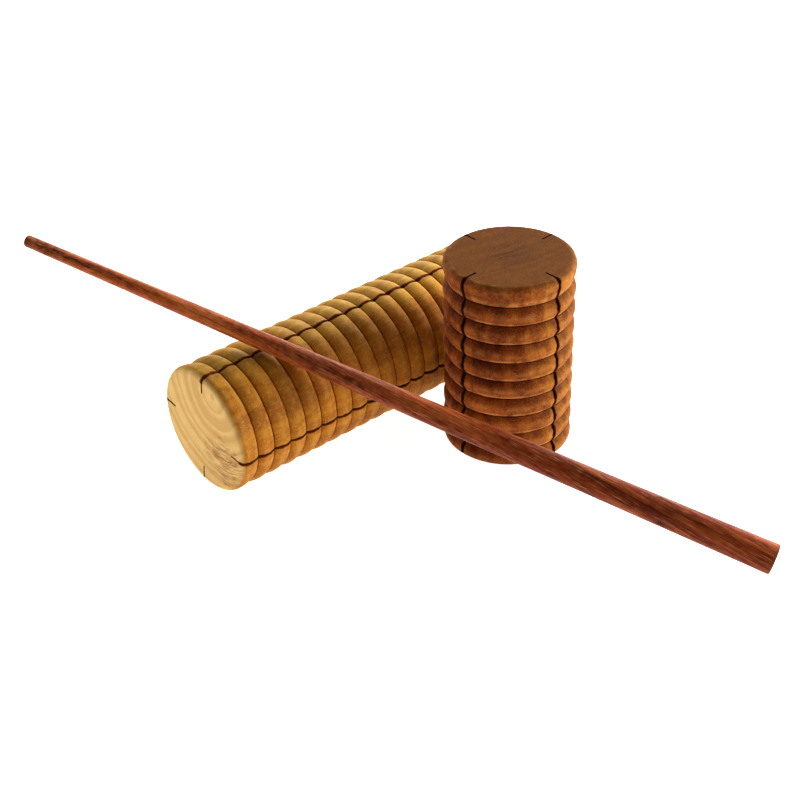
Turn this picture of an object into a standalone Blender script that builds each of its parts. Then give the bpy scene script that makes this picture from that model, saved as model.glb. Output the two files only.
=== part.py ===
"""Two ribbed wooden cylinders and their tapered stick, three loose pieces as they lie on a table.

The short cylinder stands on its flat foot at the origin. The long one lies behind it, along +X,
almost touching it. The stick has its thick end on the table and leans over the long cylinder.
Each cylinder is turned from one blank with crowned ribs, and then sawn lengthways four times, to
a depth that crosses the ribs and stops short of the core. Metres, +Z up.
"""

import math

import bmesh
import bpy
from mathutils import Matrix, Vector

# Short cylinder, from its foot at z = 0 up
SHORT_DIAMETER = 0.0500
SHORT_LENGTH = 0.0784
SHORT_RIB_COUNT = 10
SHORT_FOOT_RIB = 0.0064
SHORT_TOP_RIB = 0.0086
SHORT_GROOVE_DEPTH = 0.0019
SHORT_END_ROUNDING = 0.0021
SHORT_KERF_DEPTH = 0.0071
SHORT_TURN = math.radians(1.9)

# Long cylinder, from its near end along +X
LONG_DIAMETER = 0.0507
LONG_LENGTH = 0.1488
LONG_RIB_COUNT = 20
LONG_END_RIB = 0.0077
LONG_GROOVE_DEPTH = 0.0014
LONG_END_ROUNDING = 0.0026
LONG_KERF_DEPTH = 0.0076
LONG_ROLL = math.radians(7.3)
LONG_REACH = 0.1082  # from the short cylinder's axis back to the near end
CYLINDER_GAP = 0.0008  # between the two cylinders, where they almost touch

# Saw cuts
KERF_WIDTH = 0.0008
KERF_COUNT = 4
SAW_OVERRUN = 0.005  # how far a cutter runs past the wood

# Stick
STICK_LENGTH = 0.3000
STICK_THICK_DIAMETER = 0.0113
STICK_THIN_DIAMETER = 0.0048
STICK_END_CHAMFER = 0.0003
STICK_CROSSING = 0.0295  # from the long cylinder's near end to where the stick rests on it
STICK_LEAD = 0.1945  # along the stick, from its thick end to where it rests on the long cylinder
STICK_CLEARANCE = 0.0197  # between the short cylinder and a stick as thick as its thick end
REST_GAP = 0.0003  # between pieces that rest on each other

# Fineness of the faceted surfaces
CYLINDER_SEGMENTS = 32
STICK_SEGMENTS = 24
RIB_STEPS = 4
ROUNDING_STEPS = 2

LIE_PASSES = 30
MERGE_DISTANCE = 1e-6
SMOOTH_ANGLE = math.radians(28)


def clear_scene():
    for old in list(bpy.data.objects):
        bpy.data.objects.remove(old)


def wood(name, colour, roughness):
    material = bpy.data.materials.new(name)
    material.use_nodes = True
    shader = material.node_tree.nodes["Principled BSDF"]
    shader.inputs["Base Color"].default_value = (*colour, 1.0)
    shader.inputs["Roughness"].default_value = roughness
    shader.inputs["Metallic"].default_value = 0.0
    return material


def groove_heights(length, foot_rib, top_rib, rib_count):
    """Heights of the grooves, from the foot up: the inner ribs share what the end ribs leave."""
    pitch = (length - foot_rib - top_rib) / (rib_count - 2)
    return [foot_rib + pitch * i for i in range(rib_count - 1)]


def end_rib_half(radius, groove_depth, rounding, end_height, groove_height):
    """Profile from an end face's rim, over the rounded edge, down to the end rib's groove."""
    inward = math.copysign(1.0, groove_height - end_height)
    crest_height = end_height + inward * rounding
    points = []
    for i in range(ROUNDING_STEPS + 1):
        angle = 0.5 * math.pi * i / ROUNDING_STEPS
        points.append((
            radius - rounding + rounding * math.sin(angle),
            crest_height - inward * rounding * math.cos(angle),
        ))
    slope_steps = RIB_STEPS // 2
    for i in range(1, slope_steps + 1):
        share = i / slope_steps
        points.append((
            radius - groove_depth * share ** 2,
            crest_height + (groove_height - crest_height) * share,
        ))
    return points


def inner_rib(radius, groove_depth, low, high):
    """Profile of one crowned rib, from just above its lower groove up to its upper one."""
    middle, half = 0.5 * (low + high), 0.5 * (high - low)
    points = []
    for i in range(1, RIB_STEPS + 1):
        share = 2.0 * i / RIB_STEPS - 1.0
        points.append((radius - groove_depth * share ** 2, middle + half * share))
    return points


def ribbed_profile(diameter, length, rib_count, foot_rib, top_rib, groove_depth, rounding):
    """(radius, height) points up the outside of a ribbed cylinder, from its foot's rim to its top's."""
    radius = 0.5 * diameter
    grooves = groove_heights(length, foot_rib, top_rib, rib_count)
    points = end_rib_half(radius, groove_depth, rounding, 0.0, grooves[0])
    for low, high in zip(grooves, grooves[1:]):
        points += inner_rib(radius, groove_depth, low, high)
    top = end_rib_half(radius, groove_depth, rounding, length, grooves[-1])
    return points + list(reversed(top))[1:]


def turned_mesh(name, profile, segments):
    """A closed mesh turned about Z, with a flat face at each end of the profile."""
    shape = bmesh.new()
    points = [shape.verts.new((radius, 0.0, height)) for radius, height in profile]
    edges = [shape.edges.new(pair) for pair in zip(points, points[1:])]
    bmesh.ops.spin(
        shape,
        geom=points + edges,
        cent=(0.0, 0.0, 0.0),
        axis=(0.0, 0.0, 1.0),
        angle=2.0 * math.pi,
        steps=segments,
        use_duplicate=False,
    )
    bmesh.ops.remove_doubles(shape, verts=shape.verts[:], dist=MERGE_DISTANCE)
    bmesh.ops.holes_fill(shape, edges=shape.edges[:], sides=0)
    bmesh.ops.recalc_face_normals(shape, faces=shape.faces[:])
    mesh = bpy.data.meshes.new(name)
    shape.to_mesh(mesh)
    shape.free()
    mesh.shade_smooth()
    mesh.set_sharp_from_angle(angle=SMOOTH_ANGLE)
    return mesh


def add_object(name, mesh, material=None, location=(0.0, 0.0, 0.0), rotation=None):
    placed = bpy.data.objects.new(name, mesh)
    bpy.context.scene.collection.objects.link(placed)
    placed.location = location
    if rotation is not None:
        placed.rotation_mode = "QUATERNION"
        placed.rotation_quaternion = rotation
    if material is not None:
        mesh.materials.append(material)
    return placed


def saw_kerfs(cylinder, radius, length, depth, turn):
    """Cuts the lengthways kerfs, with one thin slab for each, spaced evenly round the axis."""
    slabs = bmesh.new()
    inner = radius - depth
    outer = radius + SAW_OVERRUN
    size = Matrix.Diagonal((outer - inner, KERF_WIDTH, length + 2.0 * SAW_OVERRUN, 1.0))
    middle = Matrix.Translation((0.5 * (inner + outer), 0.0, 0.5 * length))
    for i in range(KERF_COUNT):
        place = Matrix.Rotation(turn + 2.0 * math.pi * i / KERF_COUNT, 4, "Z")
        bmesh.ops.create_cube(slabs, size=1.0, matrix=place @ middle @ size)
    mesh = bpy.data.meshes.new(cylinder.name + "_saw")
    slabs.to_mesh(mesh)
    slabs.free()
    saw = add_object(cylinder.name + "_saw", mesh)
    saw.parent = cylinder
    saw.hide_render = True
    saw.display_type = "WIRE"
    cut = cylinder.modifiers.new("kerfs", "BOOLEAN")
    cut.operation = "DIFFERENCE"
    cut.solver = "EXACT"
    cut.object = saw


def make_short_cylinder():
    profile = ribbed_profile(
        SHORT_DIAMETER, SHORT_LENGTH, SHORT_RIB_COUNT, SHORT_FOOT_RIB, SHORT_TOP_RIB,
        SHORT_GROOVE_DEPTH, SHORT_END_ROUNDING,
    )
    mesh = turned_mesh("short_cylinder", profile, CYLINDER_SEGMENTS)
    red_brown = wood("red_brown_wood", (0.36, 0.14, 0.045), 0.55)
    cylinder = add_object("short_cylinder", mesh, red_brown)
    saw_kerfs(cylinder, 0.5 * SHORT_DIAMETER, SHORT_LENGTH, SHORT_KERF_DEPTH, SHORT_TURN)


def long_axis_y():
    """How far behind the short cylinder's axis the long one's lies."""
    return 0.5 * (SHORT_DIAMETER + LONG_DIAMETER) + CYLINDER_GAP


def make_long_cylinder():
    profile = ribbed_profile(
        LONG_DIAMETER, LONG_LENGTH, LONG_RIB_COUNT, LONG_END_RIB, LONG_END_RIB,
        LONG_GROOVE_DEPTH, LONG_END_ROUNDING,
    )
    mesh = turned_mesh("long_cylinder", profile, CYLINDER_SEGMENTS)
    # The turned axis lies along +X, with the mesh's own X along +Y and its Y up.
    lying = Matrix(((0.0, 0.0, 1.0), (1.0, 0.0, 0.0), (0.0, 1.0, 0.0))).to_quaternion()
    cylinder = add_object(
        "long_cylinder",
        mesh,
        wood("golden_wood", (0.62, 0.36, 0.10), 0.5),
        location=(-LONG_REACH, long_axis_y(), 0.5 * LONG_DIAMETER),
        rotation=lying,
    )
    turn = 0.5 * math.pi + LONG_ROLL
    saw_kerfs(cylinder, 0.5 * LONG_DIAMETER, LONG_LENGTH, LONG_KERF_DEPTH, turn)


def rim_rise(tilt):
    """Height of the thick end's centre when its chamfered rim touches the table."""
    return 0.5 * STICK_THICK_DIAMETER * math.cos(tilt) - STICK_END_CHAMFER * math.sin(tilt)


def stick_lie():
    """The centre of the stick's thick end and the unit vector along the stick.

    The stick's axis and the long cylinder's are as far apart as their radii and a gap where they
    cross, the thick end's rim touches the table, and in plan the stick passes the short cylinder
    at its clearance. Each pass of the loop brings the tilt and the heading closer to the ones
    where all three hold. The heading is measured in plan from -X, towards the thin end.
    """
    thick, thin = 0.5 * STICK_THICK_DIAMETER, 0.5 * STICK_THIN_DIAMETER
    crossing_radius = thick + (thin - thick) * STICK_LEAD / STICK_LENGTH
    long_radius = 0.5 * LONG_DIAMETER
    apart = long_radius + crossing_radius + REST_GAP
    passing = 0.5 * SHORT_DIAMETER + thick + STICK_CLEARANCE
    heading, tilt = 0.25 * math.pi, 0.0
    for _ in range(LIE_PASSES):
        side_slope = math.atan2(math.tan(tilt), math.sin(heading))
        crossing = Vector((
            STICK_CROSSING - LONG_REACH,
            long_axis_y() - apart * math.sin(side_slope),
            long_radius + apart * math.cos(side_slope),
        ))
        bearing = math.atan2(crossing.y, -crossing.x)
        heading = bearing + math.asin(passing / math.hypot(crossing.x, crossing.y))
        tilt = math.asin((crossing.z - rim_rise(tilt)) / STICK_LEAD)
    along = Vector((
        -math.cos(tilt) * math.cos(heading),
        math.cos(tilt) * math.sin(heading),
        math.sin(tilt),
    ))
    foot = crossing - STICK_LEAD * along
    foot.z = rim_rise(tilt)
    return foot, along


def make_stick():
    thick, thin = 0.5 * STICK_THICK_DIAMETER, 0.5 * STICK_THIN_DIAMETER
    profile = [
        (thick - STICK_END_CHAMFER, 0.0),
        (thick, STICK_END_CHAMFER),
        (thin, STICK_LENGTH - STICK_END_CHAMFER),
        (thin - STICK_END_CHAMFER, STICK_LENGTH),
    ]
    foot, along = stick_lie()
    add_object(
        "stick",
        turned_mesh("stick", profile, STICK_SEGMENTS),
        wood("dark_red_wood", (0.19, 0.055, 0.028), 0.45),
        location=foot,
        rotation=along.to_track_quat("Z", "Y"),
    )


def main():
    clear_scene()
    make_short_cylinder()
    make_long_cylinder()
    make_stick()


main()
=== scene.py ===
"""The looks of three loose pieces of wood: two ribbed, kerfed cylinders and a tapered stick.

Each piece is a fine mesh of its own that stands for the CAD node of the same name, takes its place
and size from that node, and rides on that node's body. Local Z runs along each piece, the way its
tree grew, so one wood texture in local coordinates gives matching side grain and end grain.
Lengths are in metres.
"""

import logging
import math
from dataclasses import dataclass, field
from enum import Enum

import bpy
import numpy as np
from mathutils import Matrix, Vector, noise


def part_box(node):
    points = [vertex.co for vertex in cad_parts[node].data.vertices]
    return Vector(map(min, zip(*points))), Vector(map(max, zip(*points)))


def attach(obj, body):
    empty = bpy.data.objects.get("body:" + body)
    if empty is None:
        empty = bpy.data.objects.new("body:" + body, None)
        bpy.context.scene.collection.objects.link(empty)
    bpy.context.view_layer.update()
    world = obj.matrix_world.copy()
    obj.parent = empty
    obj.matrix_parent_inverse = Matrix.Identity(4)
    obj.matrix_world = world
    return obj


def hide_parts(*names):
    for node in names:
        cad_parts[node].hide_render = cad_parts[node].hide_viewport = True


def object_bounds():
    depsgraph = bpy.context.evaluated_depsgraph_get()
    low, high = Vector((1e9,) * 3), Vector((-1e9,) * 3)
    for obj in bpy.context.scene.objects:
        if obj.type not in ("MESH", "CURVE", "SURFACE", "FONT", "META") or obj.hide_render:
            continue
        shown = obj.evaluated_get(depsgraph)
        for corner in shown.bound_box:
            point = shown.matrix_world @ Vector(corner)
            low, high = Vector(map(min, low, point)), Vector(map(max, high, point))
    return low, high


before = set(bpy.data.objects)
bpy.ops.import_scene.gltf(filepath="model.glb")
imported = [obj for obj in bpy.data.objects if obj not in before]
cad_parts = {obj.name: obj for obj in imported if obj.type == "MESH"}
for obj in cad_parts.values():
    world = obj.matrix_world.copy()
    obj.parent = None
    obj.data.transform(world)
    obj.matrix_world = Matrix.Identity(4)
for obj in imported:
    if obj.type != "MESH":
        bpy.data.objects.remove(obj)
CAD_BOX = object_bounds()

LOG = logging.getLogger("wooden_pieces")
MM = 0.001
BAKE_MAP = "OFBake"


# Small helpers


def linear(colour: str) -> tuple[float, float, float, float]:
    """Turns a screen colour into the scene's linear one.

    Args:
        colour: Six hexadecimal digits after a hash, such as "#b07a38".

    Returns:
        Linear red, green, blue and an alpha of 1.
    """
    parts = [int(colour[i : i + 2], 16) / 255.0 for i in (1, 3, 5)]
    red, green, blue = (c / 12.92 if c <= 0.04045 else ((c + 0.055) / 1.055) ** 2.4 for c in parts)
    return red, green, blue, 1.0


def wavering(place: float, row: float, spread: float) -> float:
    """A smooth, repeatable number between about -1 and 1 for the small slips of handwork.

    Args:
        place: Where along the piece, or which feature of it.
        row: A second number, which keeps unlike features apart.
        spread: How fast the number changes with place.

    Returns:
        The number.
    """
    return 2.0 * noise.noise(Vector((place * spread, row * 7.31, 0.5 + row)))


def ease(share: float) -> float:
    """Smooth step from 0 to 1 as share goes from 0 to 1."""
    share = min(max(share, 0.0), 1.0)
    return share * share * (3.0 - 2.0 * share)


# Shader nodes

Feed = bpy.types.NodeSocket | float | tuple


class Net:
    """A node tree, with short ways to add nodes and join them up."""

    def __init__(self, tree: bpy.types.NodeTree) -> None:
        """Wraps a tree of nodes."""
        self.tree = tree

    def add(self, kind: str, inputs: dict[str | int, Feed], **settings: object) -> bpy.types.Node:
        """Adds one node.

        Args:
            kind: Blender's name for the kind of node.
            inputs: What goes into each input, by name or number: a socket or a plain value.
            **settings: Values for the node's own properties.

        Returns:
            The new node.
        """
        node = self.tree.nodes.new(kind)
        for name, value in settings.items():
            setattr(node, name, value)
        self.feed(node, inputs)
        return node

    def feed(self, node: bpy.types.Node, inputs: dict[str | int, Feed]) -> None:
        """Joins a socket to each of a node's inputs, or sets its plain value.

        Args:
            node: The node.
            inputs: What goes into each input, by name or number.
        """
        for name, value in inputs.items():
            if isinstance(value, bpy.types.NodeSocket):
                self.tree.links.new(value, node.inputs[name])
            else:
                node.inputs[name].default_value = value

    def math(self, operation: str, *values: Feed) -> bpy.types.NodeSocket:
        """The result of one Math node on these values."""
        return self.add("ShaderNodeMath", dict(enumerate(values)), operation=operation).outputs[0]

    def plus(self, first: Feed, second: Feed) -> bpy.types.NodeSocket:
        """The sum of two numbers."""
        return self.math("ADD", first, second)

    def minus(self, first: Feed, second: Feed) -> bpy.types.NodeSocket:
        """The first number less the second."""
        return self.math("SUBTRACT", first, second)

    def times(self, first: Feed, second: Feed) -> bpy.types.NodeSocket:
        """The product of two numbers."""
        return self.math("MULTIPLY", first, second)

    def vector(self, operation: str, *values: Feed, **named: Feed) -> bpy.types.NodeSocket:
        """The result of one Vector Math node on these values."""
        node = self.add("ShaderNodeVectorMath", {**dict(enumerate(values)), **named}, operation=operation)
        return node.outputs["Value" if operation == "LENGTH" else "Vector"]

    def step(self, value: Feed, low: Feed, high: Feed) -> bpy.types.NodeSocket:
        """A smooth step from 0 to 1 as value goes from low to high."""
        inputs = {"Value": value, "From Min": low, "From Max": high}
        return self.add("ShaderNodeMapRange", inputs, interpolation_type="SMOOTHSTEP").outputs[0]

    def mix(self, share: Feed, first: Feed, second: Feed, blend: str = "MIX") -> bpy.types.NodeSocket:
        """A colour from first to second as share goes from 0 to 1."""
        inputs = {"Factor": share, 6: first, 7: second}
        node = self.add("ShaderNodeMix", inputs, data_type="RGBA", blend_type=blend, clamp_factor=True)
        return node.outputs[2]

    def noise(self, place: Feed, scale: Feed, detail: float = 2.0) -> bpy.types.NodeSocket:
        """Smooth noise around 0.5."""
        inputs = {"Vector": place, "Scale": scale, "Detail": detail, "Roughness": 0.55}
        return self.add("ShaderNodeTexNoise", inputs).outputs["Fac"]

    def stretched(self, place: Feed, across: float, along: float) -> bpy.types.NodeSocket:
        """A place with its X and Y times across and its Z times along."""
        return self.vector("MULTIPLY", place, (across, across, along))

    def group(self, tree: bpy.types.NodeTree, inputs: dict[str, Feed]) -> dict[str, bpy.types.NodeSocket]:
        """Places an effect in this tree.

        Args:
            tree: The effect's node group.
            inputs: What goes into each of its inputs.

        Returns:
            Its outputs by name.
        """
        node = self.tree.nodes.new("ShaderNodeGroup")
        node.node_tree = tree
        self.feed(node, inputs)
        return {socket.name: socket for socket in node.outputs}

    def mark(self, name: str) -> bpy.types.NodeSocket:
        """A number that the mesh code wrote on each vertex."""
        return self.add("ShaderNodeAttribute", {}, attribute_name=name).outputs["Fac"]


class Effect:
    """A node group that more than one wood uses, with named inputs and outputs."""

    def __init__(self, name: str, inputs: dict[str, tuple[str, Feed]], outputs: list[str]) -> None:
        """Starts the group.

        Args:
            name: The group's name.
            inputs: Each input's name, with its kind and its usual value.
            outputs: Names of the outputs, each a number.
        """
        self.tree = bpy.data.node_groups.new(name, "ShaderNodeTree")
        for label, (kind, value) in inputs.items():
            socket = self.tree.interface.new_socket(label, in_out="INPUT", socket_type=kind)
            socket.default_value = value
        for label in outputs:
            self.tree.interface.new_socket(label, in_out="OUTPUT", socket_type="NodeSocketFloat")
        self.net = Net(self.tree)
        self.given = self.tree.nodes.new("NodeGroupInput").outputs
        self.result = self.tree.nodes.new("NodeGroupOutput").inputs

    def give(self, label: str, socket: bpy.types.NodeSocket) -> None:
        """Joins a socket inside the group to one of its outputs."""
        self.tree.links.new(socket, self.result[label])


NUMBER = "NodeSocketFloat"
PLACE = "NodeSocketVector"

# Where each soft mask of the woods starts and ends.
LATE_RISE = (0.20, 0.85)
LATE_FALL = (0.85, 1.0)
DASH_EDGE = (0.44, 0.54)
DASH_PATCH = (0.85, 1.45)
SPECK_EDGE = (0.54, 0.74)
WORN_PATCHES = (0.30, 0.72)
STREAK_EDGE = (0.46, 0.72)
BLOTCH_EDGE = (0.36, 0.64)
LIGHT_FIGURE = (0.50, 0.66)
DARK_FIGURE = (0.34, 0.48)

# How fine each broken-up mask is, in features for each metre. A pair is across the grain and along it.
DRIFT_GRAIN = (75.0, 14.0)
MOTTLE_GRAIN = (260.0, 150.0)
DASH_PATCH_GRAIN = 260.0
SHADE_GRAIN = 600.0
WEAR_GRAIN = 330.0

# How a dash changes with its bearing round the heart, its distance from it and its height.
DASH_TURN = 5.0
DASH_SPACING = 1450.0
DASH_HEIGHT = 60.0

# How uneven rings and patches of dashes are, and how the dashes fade in the pale early wood.
RING_CROWDING = 1.1
DASH_PATCH_BREAK_UP = 1.1
DASH_IN_LATE_WOOD = 0.4

# How fine each feature of the fibres is, times the wood's own fineness, and where and how large pores are.
STREAK_FINENESS = 0.8
FIGURE_FINENESS = 0.11
PORE_FINENESS = 0.55
PORE_GROUP_FINENESS = 0.23
PORE_GROUP_END = 0.80
MOST_PORES = 0.78
PORE_SIZE = 0.34
PORE_CORE = 0.45
SPECK_FINENESS = 1.2

# How soft the edge of the painted shade and scorch is, and how fast a tool's line changes along itself, times
# its change across.
SHADE_SOFTNESS = 0.45
TOOL_LINE_STRETCH = 0.04


def growth_rings() -> bpy.types.NodeTree:
    """Rings about the heart of the tree: cylinders on the side, arcs on an end face.

    Returns:
        A group that gives the dark late wood's mask, a tone for each ring, and short dark dashes that
        run along the rings.
    """
    effect = Effect(
        "growth_rings",
        {
            "Vector": (PLACE, (0.0, 0.0, 0.0)),
            "Heart": (PLACE, (0.0, 0.03, 0.0)),
            "Lean": (PLACE, (0.0, 0.0, 0.0)),
            "Ring Width": (NUMBER, 5.0 * MM),
            "Wander": (NUMBER, 2.0 * MM),
            "Dash Spot": (PLACE, (0.0, 0.0, 0.0)),
            "Dash Spread": (NUMBER, 20.0 * MM),
            "Seed": (NUMBER, 0.0),
        },
        ["Late Wood", "Ring Tone", "Dashes"],
    )
    net, given = effect.net, effect.given
    height = net.add("ShaderNodeSeparateXYZ", {0: given["Vector"]}).outputs["Z"]
    heart = net.vector("ADD", given["Heart"], net.vector("SCALE", given["Lean"], Scale=height))
    place = net.vector("SUBTRACT", given["Vector"], heart)
    loose = net.stretched(given["Vector"], *DRIFT_GRAIN)
    waves = {"Vector": loose, "Scale": 1.0, "Detail": 3.0, "Roughness": 0.5}
    drift = net.add("ShaderNodeTexNoise", waves).outputs["Color"]
    drift = net.vector("SCALE", net.vector("SUBTRACT", drift, (0.5, 0.5, 0.5)), Scale=given["Wander"])
    flat = net.vector("MULTIPLY", net.vector("ADD", place, drift), (1.0, 1.0, 0.0))
    away = net.vector("LENGTH", flat)
    count = net.math("DIVIDE", away, given["Ring Width"])
    uneven = net.add("ShaderNodeTexNoise", {"W": count, "Scale": 0.9, "Detail": 0.0}, noise_dimensions="1D")
    count = net.plus(count, net.times(uneven.outputs["Fac"], RING_CROWDING))
    share = net.math("FRACT", count)
    late = net.times(net.step(share, *LATE_RISE), net.minus(1.0, net.step(share, *LATE_FALL)))
    effect.give("Late Wood", late)
    turn = net.plus(net.math("FLOOR", count), given["Seed"])
    tone = net.add("ShaderNodeTexWhiteNoise", {"W": turn}, noise_dimensions="1D")
    effect.give("Ring Tone", tone.outputs["Value"])
    split = net.add("ShaderNodeSeparateXYZ", {0: flat}).outputs
    bearing = net.math("ARCTAN2", split["Y"], split["X"])
    along = {"X": net.times(bearing, DASH_TURN), "Y": net.times(away, DASH_SPACING)}
    ribbon = net.add("ShaderNodeCombineXYZ", {**along, "Z": net.times(height, DASH_HEIGHT)}).outputs[0]
    spot = net.vector("SUBTRACT", given["Vector"], given["Dash Spot"])
    spot = net.vector("MULTIPLY", spot, (1.0, 1.0, 0.0))
    spot = net.math("DIVIDE", net.vector("LENGTH", spot), given["Dash Spread"])
    patch = net.times(net.noise(given["Vector"], DASH_PATCH_GRAIN, 3.0), DASH_PATCH_BREAK_UP)
    patch = net.plus(spot, patch)
    dashes = net.step(net.noise(ribbon, 1.0, 4.0), *DASH_EDGE)
    dashes = net.times(dashes, net.minus(1.0, net.step(patch, *DASH_PATCH)))
    strength = net.plus(1.0 - DASH_IN_LATE_WOOD, net.times(late, DASH_IN_LATE_WOOD))
    effect.give("Dashes", net.times(dashes, strength))
    return effect.tree


def fibres() -> bpy.types.NodeTree:
    """Fine streaks and open pores along the grain, which show as dots on an end face.

    Returns:
        A group that gives the streaks, a broad figure, the pores, a mottle and pale specks.
    """
    effect = Effect(
        "fibres",
        {
            "Vector": (PLACE, (0.0, 0.0, 0.0)),
            "Fineness": (NUMBER, 1500.0),
            "Stretch": (NUMBER, 0.05),
            "Twist": (NUMBER, 0.0),
            "Pore Share": (NUMBER, 0.4),
            "Speck Shortness": (NUMBER, 6.0),
            "Seed": (NUMBER, 0.0),
        },
        ["Streaks", "Figure", "Pores", "Mottle", "Specks"],
    )
    net, given = effect.net, effect.given
    height = net.add("ShaderNodeSeparateXYZ", {0: given["Vector"]}).outputs["Z"]
    turn = {"Vector": given["Vector"], "Angle": net.times(height, given["Twist"])}
    turned = net.add("ShaderNodeVectorRotate", turn, rotation_type="Z_AXIS").outputs[0]
    along = net.times(given["Fineness"], given["Stretch"])
    grow = net.add("ShaderNodeCombineXYZ", {"X": given["Fineness"], "Y": given["Fineness"], "Z": along})
    place = net.vector("MULTIPLY", turned, grow.outputs[0])
    place = net.vector("ADD", place, net.vector("SCALE", (3.1, 7.7, 5.3), Scale=given["Seed"]))
    effect.give("Streaks", net.noise(place, STREAK_FINENESS, 4.0))
    effect.give("Figure", net.noise(place, FIGURE_FINENESS, 3.0))
    cells = net.add("ShaderNodeTexVoronoi", {"Vector": place, "Scale": PORE_FINENESS, "Randomness": 1.0})
    rare = net.noise(place, PORE_GROUP_FINENESS, 1.0)
    size = net.step(rare, net.minus(MOST_PORES, given["Pore Share"]), PORE_GROUP_END)
    size = net.times(size, PORE_SIZE)
    pores = net.step(cells.outputs["Distance"], size, net.times(size, PORE_CORE))
    effect.give("Pores", pores)
    round_place = net.vector("ADD", turned, net.vector("SCALE", (0.013, 0.021, 0.034), Scale=given["Seed"]))
    effect.give("Mottle", net.noise(net.stretched(round_place, *MOTTLE_GRAIN), 1.0, 4.0))
    fleck = net.times(along, given["Speck Shortness"])
    grow = net.add("ShaderNodeCombineXYZ", {"X": given["Fineness"], "Y": given["Fineness"], "Z": fleck})
    flecks = net.noise(net.vector("MULTIPLY", round_place, grow.outputs[0]), SPECK_FINENESS, 2.0)
    effect.give("Specks", net.step(flecks, *SPECK_EDGE))
    return effect.tree


def groove_shade_and_scorch() -> bpy.types.NodeTree:
    """Painted shade, with some scorch, thick in the bottom of a groove or kerf and broken up at its edge.

    Returns:
        A group that gives the mask of the painted shade and scorch.
    """
    effect = Effect(
        "groove_shade_and_scorch",
        {"Vector": (PLACE, (0.0, 0.0, 0.0)), "Reach": (NUMBER, 0.5), "Patchiness": (NUMBER, 0.5)},
        ["Shade And Scorch"],
    )
    net, given = effect.net, effect.given
    patches = net.minus(net.noise(given["Vector"], SHADE_GRAIN, 4.0), 0.5)
    patches = net.times(patches, given["Patchiness"])
    depth = net.plus(net.math("MAXIMUM", net.mark("groove"), net.mark("kerf")), patches)
    start = net.minus(1.0, given["Reach"])
    effect.give("Shade And Scorch", net.step(depth, start, net.plus(start, SHADE_SOFTNESS)))
    return effect.tree


def hand_wear() -> bpy.types.NodeTree:
    """Rubbed edges and crests, paler and smoother than the wood round them.

    Returns:
        A group that gives the wear's mask.
    """
    effect = Effect(
        "hand_wear",
        {"Vector": (PLACE, (0.0, 0.0, 0.0)), "Amount": (NUMBER, 0.5)},
        ["Wear"],
    )
    net, given = effect.net, effect.given
    patches = net.noise(given["Vector"], WEAR_GRAIN, 5.0)
    edge = net.times(net.mark("edge"), net.step(patches, *WORN_PATCHES))
    effect.give("Wear", net.times(edge, given["Amount"]))
    return effect.tree


def tool_marks() -> bpy.types.NodeTree:
    """Faint lines that the lathe's abrasive leaves round a piece, and the saw across its end faces.

    Returns:
        A group that gives a height.
    """
    effect = Effect(
        "tool_marks",
        {"Vector": (PLACE, (0.0, 0.0, 0.0)), "Fineness": (NUMBER, 3500.0), "End Face": (NUMBER, 0.0)},
        ["Height"],
    )
    net, given = effect.net, effect.given
    low = net.times(given["Fineness"], TOOL_LINE_STRETCH)
    round_it = net.add("ShaderNodeCombineXYZ", {"X": low, "Y": low, "Z": given["Fineness"]}).outputs[0]
    across = net.add("ShaderNodeCombineXYZ", {"X": low, "Y": given["Fineness"], "Z": low}).outputs[0]
    side = net.noise(net.vector("MULTIPLY", given["Vector"], round_it), 1.0, 2.0)
    face = net.noise(net.vector("MULTIPLY", given["Vector"], across), 0.6, 3.0)
    mixed = net.add("ShaderNodeMix", {"Factor": given["End Face"], 2: side, 3: face}, data_type="FLOAT")
    effect.give("Height", mixed.outputs[0])
    return effect.tree


@dataclass(frozen=True)
class WoodEffects:
    """The shared node groups, each built once."""

    rings: bpy.types.NodeTree
    fibres: bpy.types.NodeTree
    dark_and_shade: bpy.types.NodeTree
    wear: bpy.types.NodeTree
    marks: bpy.types.NodeTree

    @classmethod
    def build(cls) -> "WoodEffects":
        """Builds every group."""
        return cls(growth_rings(), fibres(), groove_shade_and_scorch(), hand_wear(), tool_marks())


@dataclass(frozen=True)
class WoodFinish:
    """How one kind of wood looks.

    Colours are screen colours. The dark colour serves knots, scorch and painted shade; the pale worn
    colour serves wear, specks and painted highlights; and a third colour multiplies in as a painted shade
    tint on one side of a cylinder and as a darker tone at the stick's thick end. The heart is where the
    middle of the tree lies from the piece's own axis, and the lean is how far it moves for each metre
    along the piece. Shares are 0 to 1.
    """

    early: str
    late: str
    streak: str
    light: str
    end_early: str
    end_late: str
    end_dash: str
    dark_and_shade: str
    worn_and_highlight: str
    tan: str
    heart: tuple[float, float, float]
    lean: tuple[float, float, float]
    ring_width: float
    wander: float
    ring_share: float
    end_ring_share: float
    dash_spot: tuple[float, float, float]
    dash_spread: float
    fineness: float
    stretch: float
    twist: float
    pore_share: float
    pore_strength: float
    streak_share: float
    mottle_share: float
    figure_share: float
    speck_share: float
    speck_shortness: float
    shade_share: float
    highlight_share: float
    shade_reach: float
    wear_amount: float
    roughness: float
    relief: float
    gloss: float
    seed: float


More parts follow.
